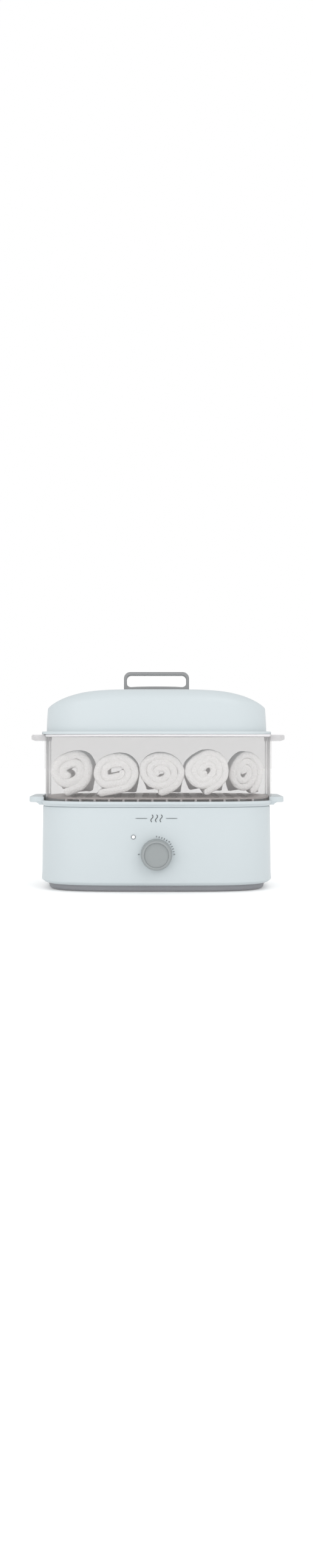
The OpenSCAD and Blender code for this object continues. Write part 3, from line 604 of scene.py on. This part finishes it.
def make_tray():
    """Collar with a rounded rim, a seat for the basket, the bowl with its chimneys, and grips."""
    base = TRAY_Z
    collar = millimetres([(1.5, 0.0), (0.9, 0.25), (0.35, 0.7), (0.0, 1.3), (-0.5, 2.1), (-1.3, 2.9),
                          (-2.2, 3.5), (-2.8, 4.2), (-3.05, 5.0), (-3.1, 6.4), (-2.95, 7.1),
                          (-2.6, 7.6), (-2.25, 7.8), (-0.9, 7.75), (-0.45, 7.5), (-0.25, 7.0),
                          (-0.2, 3.8), (0.1, 3.1), (0.6, 2.85), (2.5, 2.8)], base)
    under = millimetres([(5.4, 0.2), (5.2, -3.0), (4.9, -3.2), (3.8, -3.2), (3.5, -3.0), (3.5, 0.0)],
                        base)
    bowl_top = millimetres([(6.4, 2.8), (7.0, 2.4), (7.2, 1.6), (7.4, -7.5), (8.2, -8.9), (9.8, -9.5)],
                           base)
    bowl_under = millimetres([(7.0, -11.5), (5.6, -11.0), (5.0, -9.6), (5.0, 0.2)], base)
    rings = [bowl_ring(*level) for level in bowl_under] + plan_rings(under + collar)
    rings += [bowl_ring(*level) for level in bowl_top]
    piece = new_mesh("tray_collar", loft(rings, "cap", "cap"))
    inner, outer = slot_across(51.6 * MM, 11.6 * MM), slot_across(56 * MM, 16 * MM)
    carve(piece, *[prism(inner, base - 15 * MM, base - 5 * MM, x, y) for x, y in chimney_places()])
    low, high = base - 11 * MM, base - 2.5 * MM
    levels = [(inner, low), (inner, high - 0.5 * MM), (slot_across(52.4 * MM, 12.4 * MM), high),
              (slot_across(55.2 * MM, 15.2 * MM), high), (outer, high - 0.5 * MM), (outer, low)]
    walls = [loft([at_height(points, z, x, y) for points, z in levels], closed=True)
             for x, y in chimney_places()]
    finished(new_mesh("tray_chimneys", joined(*walls)), "tray", SHELL, "shell_plastic")
    reach = tray_high.x
    # less at the tip in metres, less at the sides in mm, height in mm
    levels = [(reach - 163.0 * MM, 1.6, 116.9), (reach - 163.9 * MM, 1.2, 118.2),
              (reach - 165.0 * MM, 0.9, 119.2), (reach - 166.6 * MM, 0.7, 120.0),
              (reach - 168.6 * MM, 0.7, 120.4), (0.9 * MM, 0.7, 120.45), (0.35 * MM, 0.35, 120.65),
              (0.05 * MM, 0.05, 121.1), (0, 0, 121.8), (0.1 * MM, 0.1, 127.0), (0.3 * MM, 0.3, 127.7),
              (0.75 * MM, 0.75, 128.1), (1.4 * MM, 1.4, 128.2)]
    shift = tray_high.z - 128.2 * MM
    solid = grip(reach, [(tip, side * MM, z * MM + shift) for tip, side, z in levels])
    grips = new_mesh("tray_grips", joined(*both_sides(solid)))
    pocket = prism(tongue(reach, 2.6 * MM, root=HALF_W + 5.4 * MM), 100 * MM, 125.4 * MM, 0, MIDDLE_Y)
    carve(grips, *both_sides(pocket))
    carve(grips, prism(outline(HALF_W + 0.2 * MM, HALF_D + 0.2 * MM), 100 * MM, 140 * MM, 0, MIDDLE_Y))
    finished(grips, "tray", SHELL, "shell_plastic", angle=30)
    return finished(piece, "tray", SHELL, "shell_plastic", "drip_tray")


# ------------------------------------------------------------------ basket

RIM_BAND = 3.3 * MM
RIB_PITCH = 19.6 * MM
RIB_COUNT = 14
RIB_SHIFT = 2 * MM


def make_basket():
    """Frosted wall up to the rim's band, with a rounded foot and a ledge for the floor."""
    top, floor = BASKET_TOP_Z, BASKET_FLOOR_Z
    outer = [(2.0, LEDGE_Z + 0.1 * MM), (1.1, LEDGE_Z + 0.4 * MM), (0.7, LEDGE_Z + 1.2 * MM),
             (0.6, LEDGE_Z + 3 * MM), (0.55, top - RIM_BAND)]
    inner = [(2.8, top - RIM_BAND), (2.8, floor + 2.2 * MM), (3.1, floor + 0.9 * MM),
             (3.8, floor + 0.25 * MM), (5.0, floor)]
    under = [(5.2, floor - 2 * MM), (3.2, floor - 2.1 * MM), (2.9, floor - 2.6 * MM),
             (2.8, LEDGE_Z + 0.8 * MM), (2.5, LEDGE_Z + 0.2 * MM)]
    rings = plan_rings(under + outer + inner, BASKET_X)
    piece = new_mesh("basket_wall", loft(rings, closed=True))
    return finished(piece, "basket", FROSTED, "frosted_plastic", "steam_basket")


def make_basket_rim():
    """Thicker band round the basket's mouth, which the lid sits on."""
    top = BASKET_TOP_Z
    band = [(2.8, top - RIM_BAND), (0.55, top - RIM_BAND), (0.4, top - 3.0 * MM), (0.15, top - 2.7 * MM),
            (0.0, top - 2.3 * MM), (0.0, top - 0.5 * MM), (0.3, top - 0.1 * MM), (0.7, top), (2.3, top),
            (2.7, top - 0.2 * MM), (2.8, top - 0.7 * MM)]
    return finished(new_mesh("basket_rim", loft(plan_rings(band, BASKET_X), closed=True)), "basket",
                    FROSTED_RIM, "frosted_plastic")


def make_basket_floor():
    """Thick slotted floor inside the basket's wall."""
    floor = BASKET_FLOOR_Z
    plan = outline(HALF_W - 5.1 * MM, HALF_D - 5.1 * MM)
    piece = new_mesh("basket_floor", prism(plan, floor - 2 * MM, floor, BASKET_X, MIDDLE_Y))
    row_pitch, slot_width = 50 * MM, 9.6 * MM
    slots = []
    for i in range(RIB_COUNT - 1):
        x = BASKET_X + RIB_SHIFT + (i + 1 - RIB_COUNT / 2) * RIB_PITCH
        for row, length in ((-1, 38 * MM), (0, 42 * MM), (1, 38 * MM)):
            slots.append(prism(slot_outline(length, slot_width), floor - 6 * MM, floor + 3 * MM, x,
                               MIDDLE_Y + row * row_pitch))
    carve(piece, *slots)
    return finished(piece, "basket", FLOOR_PAINTED_SHADE, "frosted_plastic")


def make_basket_ribs():
    """Stiffening ribs under the basket's floor, from the front wall to the rear wall."""
    ribs = []
    half_w, half_d = HALF_W - 2.9 * MM, HALF_D - 2.9 * MM
    low, high = LEDGE_Z + 2 * MM, BASKET_FLOOR_Z - 2.1 * MM
    for i in range(RIB_COUNT):
        x = RIB_SHIFT + (i - (RIB_COUNT - 1) / 2) * RIB_PITCH
        reach = half_chord(x, half_w, half_d)
        ribs.append(prism(rounded_box(1.5 * MM, reach, 0.4 * MM, 2), low, high, BASKET_X + x, MIDDLE_Y))
    return finished(new_mesh("basket_ribs", joined(*ribs)), "basket", FROSTED_RIB, "frosted_plastic")


def make_basket_grips():
    """Frosted tongues with a skirt that gets shallower towards the tip."""
    reach = basket_high.x - BASKET_X
    top = BASKET_TOP_Z
    # less at the tip, less at the sides and height below the rim, in mm
    levels = [(7.0, 0.5, -9.3), (6.6, 0.15, -9.3), (3.0, 0.0, -8.3), (0.5, 0.0, -7.4), (0.1, 0.0, -6.9),
              (0, 0, -6.2), (0, 0, -2.6), (0.25, 0.2, -1.8), (0.8, 0.6, -1.05), (1.5, 1.2, -0.7),
              (2.2, 1.8, -0.6)]
    solid = grip(reach, [(tip * MM, side * MM, top + z * MM) for tip, side, z in levels], BASKET_X)
    piece = new_mesh("basket_grips", joined(*both_sides(solid, BASKET_X)))
    pocket = prism(tongue(reach, 2.2 * MM, root=HALF_W - 8 * MM), top - 20 * MM, top - 2.9 * MM,
                   BASKET_X, MIDDLE_Y)
    carve(piece, *both_sides(pocket, BASKET_X))
    carve(piece, prism(outline(HALF_W - 0.45 * MM, HALF_D - 0.45 * MM), top - 30 * MM, top + 10 * MM,
                       BASKET_X, MIDDLE_Y))
    return finished(piece, "basket", FROSTED_THICK, "frosted_plastic", angle=30)


def make_side_ribs():
    """Slim upright ribs inside the basket's two side walls."""
    ribs = []
    half_w, half_d = HALF_W - 2.7 * MM, HALF_D - 2.7 * MM
    low, high = BASKET_FLOOR_Z - 1 * MM, BASKET_TOP_Z - 3.6 * MM
    shape = rounded_box(0.8 * MM, 0.6 * MM, 0.4 * MM, 3)
    for y in (-33, -11, 11, 33):
        reach = half_chord(y * MM, half_d, half_w)
        for side in (-1, 1):
            ribs.append(prism(shape, low, high, BASKET_X + side * (reach - 0.7 * MM), MIDDLE_Y + y * MM))
    return finished(new_mesh("side_ribs", joined(*ribs)), "basket", FROSTED_THICK, "frosted_plastic")


# ------------------------------------------------------------------ lid and handle

LID_INSET = 6.5      # mm
LID_HALF_W = HALF_W - LID_INSET * MM
CROWN_FALL = 27 * MM
SHOULDER_R = 3.5 * MM
EDGE_R = 17 * MM
LID_WALL = 2.4 * MM


CROWN_POWER = 4.4


def crown(x, drop):
    """Height of the lid's arch, at a depth below its skin."""
    return CROWN_Z - drop - CROWN_FALL * (np.abs(x) / LID_HALF_W) ** CROWN_POWER


def dome(drop, wall_levels):
    """Rings up the lid's wall, round its top edge and in over the crown, at a depth below its skin."""
    inset = drop / MM
    rings = [body_ring(LID_INSET - 0.9 + inset + rise, z) for rise, z in wall_levels]
    top_inset = LID_INSET + 0.6 + inset
    edge = outline(HALF_W - top_inset * MM, HALF_D - top_inset * MM)
    ahead, behind = np.roll(edge, -1, axis=0), np.roll(edge, 1, axis=0)
    along = ahead - behind
    along /= np.linalg.norm(along, axis=1)[:, None]
    outward = np.column_stack([along[:, 1], -along[:, 0]])
    facing = np.abs(outward[:, 1])
    share = facing * facing * (3 - 2 * facing)
    radius = np.maximum(SHOULDER_R + (EDGE_R - SHOULDER_R) * share - drop, 0.8 * MM)
    for angle in np.radians([0, 12, 24, 36, 48, 60, 72, 84]):
        plan = edge - outward * (radius * (1 - math.cos(angle)))[:, None]
        start = crown(edge[:, 0] - outward[:, 0] * radius, drop) - radius
        slope_top = crown(plan[:, 0], drop)
        z = np.minimum(start + radius * math.sin(angle), slope_top)
        rings.append(np.column_stack([plan[:, 0], plan[:, 1] + MIDDLE_Y, z]))
    inner = edge - outward * radius[:, None]
    for scale in (1.0, 0.94, 0.87, 0.79, 0.7, 0.6, 0.48, 0.34, 0.18, 0.05):
        plan = inner * scale
        z = crown(plan[:, 0], drop)
        rings.append(np.column_stack([plan[:, 0], plan[:, 1] + MIDDLE_Y, z]))
    return rings


def make_lid():
    """Domed lid in one skin: crown, wall, rounded flange and the inner skirt that locates it."""
    base = BASKET_TOP_Z
    outside = dome(0.0, millimetres([(-0.6, 3.9), (-0.15, 4.4), (0.0, 5.3), (0.5, 18), (1.2, 30)], base))
    flange = millimetres([(5.4, 0), (0.0, 0.02), (-0.7, 0.15), (-1.0, 0.6), (-1.0, 3.1), (-0.75, 3.6),
                          (-0.2, 3.85), (4.2, 3.9)], base)
    skirt = millimetres([(7.6, 1), (7.6, -2.6), (7.2, -3), (5.8, -3), (5.4, -2.6)], base)
    inside = dome(LID_WALL, millimetres([(0.0, 5), (0.5, 18), (1.2, 30)], base))
    rings = inside[::-1] + plan_rings(skirt + flange) + outside
    piece = new_mesh("lid_dome", loft(rings, "cap", "cap"))
    vent, vent_pitch, vent_y = slot_outline(12 * MM, 3 * MM), 9 * MM, MIDDLE_Y + 34 * MM
    carve(piece, *[prism(vent, CROWN_Z - 10 * MM, CROWN_Z + 5 * MM, i * vent_pitch, vent_y)
                   for i in range(-2, 3)])
    return finished(piece, "lid", SHELL, "shell_plastic", "lid_shell", angle=44)


def loop_outline(half, low, high, low_r, high_r, sag):
    """Closed X-Z outline with round corners, whose bottom edge arches up by sag in its middle."""
    points = []
    steps = 9
    for sx, sz, start in ((1, 1, 0), (-1, 1, 90), (-1, -1, 180), (1, -1, 270)):
        radius = high_r if sz > 0 else low_r
        centre_z = high - radius if sz > 0 else low + radius
        for step in range(steps + 1):
            angle = math.radians(start + 90 * step / steps)
            points.append((sx * (half - radius) + radius * math.cos(angle),
                           centre_z + radius * math.sin(angle)))
        if sz < 0 and sx < 0:
            for t in np.linspace(0, 1, steps)[1:-1]:
                x = (2 * t - 1) * (half - radius)
                points.append((x, low + sag * (1 - (x / half) ** 2)))
        if sz > 0 and sx > 0:
            points += [((1 - 2 * t) * (half - radius), high) for t in np.linspace(0, 1, steps)[1:-1]]
    return np.array(points)


def make_handle():
    """Flat-strap loop handle: even round-cornered loop, softened edges, a thin foot on the crown."""
    half = handle_high.x
    depth = (handle_high.y - handle_low.y) / 2
    middle_y = (handle_high.y + handle_low.y) / 2
    low, high = CROWN_Z - 0.9 * MM, handle_high.z
    post, bar, foot, sag = 3.8 * MM, 4.4 * MM, 6.5 * MM, 0.9 * MM
    outer = loop_outline(half, low, high, 0.6 * MM, 9.2 * MM, sag)
    inner = loop_outline(half - post, low + foot, high - bar, 6.2 * MM, 6.4 * MM, sag)
    edge = 0.7 * MM
    section = [(edge * (1 - math.sin(angle)), depth - edge * (1 - math.cos(angle)))
               for angle in np.radians(np.arange(0, 91, 22.5))]
    rings = []
    for a, b in zip(outer, inner):
        across = (b - a) / np.linalg.norm(b - a)
        near = [(a + across * less, y) for less, y in section[::-1]]
        near += [(b - across * less, y) for less, y in section]
        far = [(p, -y) for p, y in near[::-1]]
        rings.append([(p[0], middle_y + y, p[1]) for p, y in near + far])
    return finished(new_mesh("handle_loop", loft(rings, closed=True)), "lid", HANDLE, "handle_plastic",
                    "lid_handle", angle=40)


# ------------------------------------------------------------------ rolled towels

# Each roll: thickness of the folded towel, half length of the flat core, tilt in degrees, tail left
# lying under the roll, how far the inner turns stand back, and how close the innermost turn comes
# to the middle. All but the tilt are in millimetres.
ROLLS = {
    "towel_1": (11.6, 4.0, 14, 14, 3.0, 4.6),
    "towel_2": (9.8, 6.0, 8, 24, 2.5, 4.2),
    "towel_3": (9.4, 1.0, 24, 12, 2.0, 2.2),
    "towel_4": (8.8, 3.4, 32, 18, 1.5, 2.2),
    "towel_5": (8.8, 1.8, 44, 8, 2.5, 2.0),
}
PLY_GAP = 0.5 * MM
TAIL_TURN = -96              # degrees round the roll at which its tail leaves it
STATION = 1.7 * MM           # spacing of the sections along the towel
END_GAP = 1.2 * MM           # room left before the front end
SETTLE_START, SETTLE_RUN = 45 * MM, 35 * MM
SETTLE_SIDE, SETTLE_DOWN = 0.5 * MM, 0.4 * MM


def roll_line(thickness, core, turn, tail, inner_r, outer_r):
    """Middle line of a rolled towel in X and Z: a straight tail, then a spiral round a flat core."""
    pitch = thickness * 1.05
    turns = (outer_r - inner_r) / pitch
    angle = np.radians(TAIL_TURN) + np.linspace(0, 2 * math.pi * turns, 900)
    radius = outer_r - pitch * (angle - angle[0]) / (2 * math.pi)
    lean = np.sin(math.pi / 2 * np.clip(1.6 * np.cos(angle), -1, 1))
    line = np.column_stack([core * lean + radius * np.cos(angle), radius * np.sin(angle)])
    back = line[0] - line[1]
    back /= np.linalg.norm(back)
    flap = line[0] + np.outer(np.linspace(tail, 0, 40, endpoint=False), back)
    line = np.vstack([flap, line])
    spin = np.array([[math.cos(turn), math.sin(turn)], [-math.sin(turn), math.cos(turn)]])
    return line @ spin


def even_line(line, step):
    """The same line with evenly spaced points."""
    along = np.concatenate([[0], np.cumsum(np.linalg.norm(np.diff(line, axis=0), axis=1))])
    even = np.linspace(0, along[-1], int(along[-1] / step) + 1)
    return np.column_stack([np.interp(even, along, line[:, 0]), np.interp(even, along, line[:, 1])]), even


def fold_section(length, thickness):
    """Section across the folded towel as (depth from the front, offset from its middle)."""
    half, gap = thickness / 2, PLY_GAP / 2
    near = half + np.concatenate([np.arange(0, 22, 1.6), np.linspace(24, length / MM - half / MM, 22)]) * MM
    outside = [(y, half) for y in near[::-1]]
    nose = [(0.7 * half * (1 - math.cos(a)), half * math.sin(a)) for a in np.radians(range(78, -79, -12))]
    other = [(y, -half) for y in near]
    hem, hem_middle = length + 0.3 * (half - gap), (half + gap) / 2
    hidden = np.linspace(length - 0.5 * MM, half + 2 * MM, 7)
    inner = [(y, -gap) for y in hidden] + [(y, gap) for y in hidden[::-1]]
    return outside + nose + other + [(hem, -hem_middle)] + inner + [(hem, hem_middle)]


def settled(point, middle, half_room, depth):
    """Behind its front end, the underside of a roll fills out into the room between its neighbours."""
    across, up = (point - middle) / half_room
    if up > 0:
        return point
    share = min(1, max(0, (depth - SETTLE_START) / SETTLE_RUN))
    spread = math.hypot(across, up) / max(abs(across), abs(up), 1e-6) - 1
    fill = share * min(1, -4 * up)
    push = np.array([math.copysign(SETTLE_SIDE, across), -SETTLE_DOWN])
    return middle + (point - middle) * (1 + fill * spread) + push * fill * min(1, 3 * abs(across))


def make_roll(name, number):
    """One face towel, folded in half and rolled, fitted to its place in the basket."""
    thickness, core, tilt, tail, stand_back, inner_r = ROLLS[name]
    thickness, core, stand_back = thickness * MM, core * MM, stand_back * MM
    low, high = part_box(name)
    outer_r = 0.25 * ((high.x - low.x) + (high.z - low.z)) - 0.4 * core
    line = roll_line(thickness, core, math.radians(tilt), tail * MM, inner_r * MM, outer_r)
    rim = thickness / 2 + 0.6 * MM
    line_low, line_high = line.min(0), line.max(0)
    room_low = np.array([low.x + rim, low.z + rim])
    room = np.array([high.x - rim, high.z - rim]) - room_low
    line = room_low + (line - line_low) / (line_high - line_low) * room
    for axis, wave in ((0, 1), (1, 0)):
        line[:, axis] += 0.7 * MM * np.sin(line[:, wave] / (9 * MM) + 1.7 * number)
    line, along = even_line(line, STATION)
    ahead = np.gradient(line, axis=0)
    ahead /= np.linalg.norm(ahead, axis=1)[:, None]
    normal = np.column_stack([ahead[:, 1], -ahead[:, 0]])
    length = high.y - low.y - 2.5 * MM - stand_back
    section = fold_section(length, thickness)
    middle, half_room = (line.min(0) + line.max(0)) / 2, (line.max(0) - line.min(0)) / 2
    total = along[-1]
    rings = []
    for i, s in enumerate(along):
        near_end = min(s, total - s) / (thickness / 2)
        thin = math.sqrt(max(0.0, 1 - (1 - min(1, near_end + 0.04)) ** 2))
        drift = stand_back * (s / total) ** 1.5
        drift += 0.9 * MM * noise.noise(Vector((s / (24 * MM), number * 7.3, 0)))
        front = low.y + END_GAP + drift
        ring = []
        for y, off in section:
            slack = 0.35 * MM * noise.noise(Vector((s / (11 * MM), y / (14 * MM), number * 3.1)))
            place = settled(line[i], middle, half_room, y) + normal[i] * (off * thin + slack)
            ring.append((place[0], front + y, place[1]))
        rings.append(ring)
    piece = new_mesh(f"rolled_{name}", loft(rings, "cap", "cap"))
    raise_pile(piece, number)
    finished(piece, "basket", TERRY, "terry_cotton", name, angle=180)
    return piece


def raise_pile(piece, seed):
    """Small uneven tufts of terry pile, as displacement of the mesh."""
    mesh = piece.data
    shift = Vector((seed * 0.31, seed * 0.17, seed * 0.53))
    places = []
    for vertex in mesh.vertices:
        spot = vertex.co + shift
        tuft = noise.noise(spot * 420) * 0.4 + noise.noise(spot * 170) * 0.4
        places.append(vertex.co + vertex.normal * tuft * MM)
    mesh.vertices.foreach_set("co", np.array(places).ravel())
    mesh.update()


# ------------------------------------------------------------------ CAD nodes that stay

FINISHES = [
    (RUBBER, ["rubber_feet", "cord_gland"]),
    (STEEL, ["bottom_screws", "reservoir_screws", "heater_plate", "clamp_ring", "heater_nuts",
             "timer_bracket", "timer_screws", "timer_shaft", "cord_clamp_screws", "handle_screws"]),
    (TANK, ["water_reservoir"]),
    (SHELL, ["steam_sleeve", "entry_panel"]),
    (SILICONE, ["heater_seal", "handle_washers"]),
    (ALUMINIUM, ["heat_spreader"]),
    (SHEATH, ["heating_element"]),
    (BLACK, ["thermostat", "lamp_holder", "cord_clamp"]),
    (CERAMIC, ["thermal_fuse"]),
    (CREAM, ["timer_case", "terminal_block"]),
    (BRASS, ["timer_bell", "terminal_screws"]),
    (GLASS, ["neon_bulb"]),
    (WIRE, ["wiring"]),
]


def finish_cad_nodes():
    """Gives each node that keeps its CAD shape its material."""
    for finish, names in FINISHES:
        for name in names:
            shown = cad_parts[name]
            shown.data.materials.clear()
            shown.data.materials.append(finish)


# ------------------------------------------------------------------ stage, light and camera

def make_stage():
    """Plain pale floor."""
    floor = bpy.data.meshes.new("floor")
    reach = 8.0
    floor.from_pydata([(-reach, -reach, 0), (reach, -reach, 0), (reach, reach, 0), (-reach, reach, 0)],
                      [], [(0, 1, 2, 3)])
    stage = bpy.data.objects.new("floor", floor)
    bpy.context.scene.collection.objects.link(stage)
    floor.materials.append(surface("pale_floor", (0.97, 0.97, 0.97, 1), 0.7, tint=0.002, bump=0.0,
                                   Specular_IOR_Level=0.2, Emission_Color=(1, 1, 1, 1),
                                   Emission_Strength=0.12))


def area_light(name, place, aim, size, power):
    """Square soft light, its size in metres and its power in watts."""
    lamp = bpy.data.lights.new(name, "AREA")
    lamp.shape = "SQUARE"
    lamp.size = size
    lamp.energy = power
    holder = bpy.data.objects.new(name, lamp)
    holder.location = place
    holder.rotation_euler = (Vector(aim) - Vector(place)).to_track_quat("-Z", "Y").to_euler()
    bpy.context.scene.collection.objects.link(holder)


def make_lights():
    """White surroundings with a soft key and fill from the front."""
    world = bpy.data.worlds.new("studio")
    world.use_nodes = True
    world.node_tree.nodes["Background"].inputs["Color"].default_value = (1, 1, 1, 1)
    world.node_tree.nodes["Background"].inputs["Strength"].default_value = 1.0
    bpy.context.scene.world = world
    middle = (0, MIDDLE_Y, 0.12)
    area_light("key", (0.9, -1.6, 1.3), middle, 1.2, 8.0)
    area_light("fill", (-0.9, -1.6, 0.6), middle, 1.4, 6.0)


def make_camera():
    """Camera square to the front, at the photograph's height and distance."""
    camera = bpy.data.cameras.new("camera")
    camera.lens = 28.91
    camera.shift_y = -0.0264
    camera.clip_end = 50
    holder = bpy.data.objects.new("camera", camera)
    distance, eye_height = 1.795, 0.203
    holder.location = (0, MIDDLE_Y - distance, eye_height)
    holder.rotation_euler = (math.pi / 2, 0, 0)
    bpy.context.scene.collection.objects.link(holder)
    bpy.context.scene.camera = holder
    bpy.context.scene.view_settings.view_transform = "Standard"


make_camera()
make_housing()
make_plate()
make_knob()
make_lamp()
make_ticks()
make_numerals()
make_steam_mark()
make_tray()
make_basket()
make_basket_rim()
make_basket_floor()
make_basket_ribs()
make_side_ribs()
make_basket_grips()
make_lid()
make_handle()
for index, roll_name in enumerate(ROLLS):
    make_roll(roll_name, index)
finish_cad_nodes()
make_stage()
make_lights()
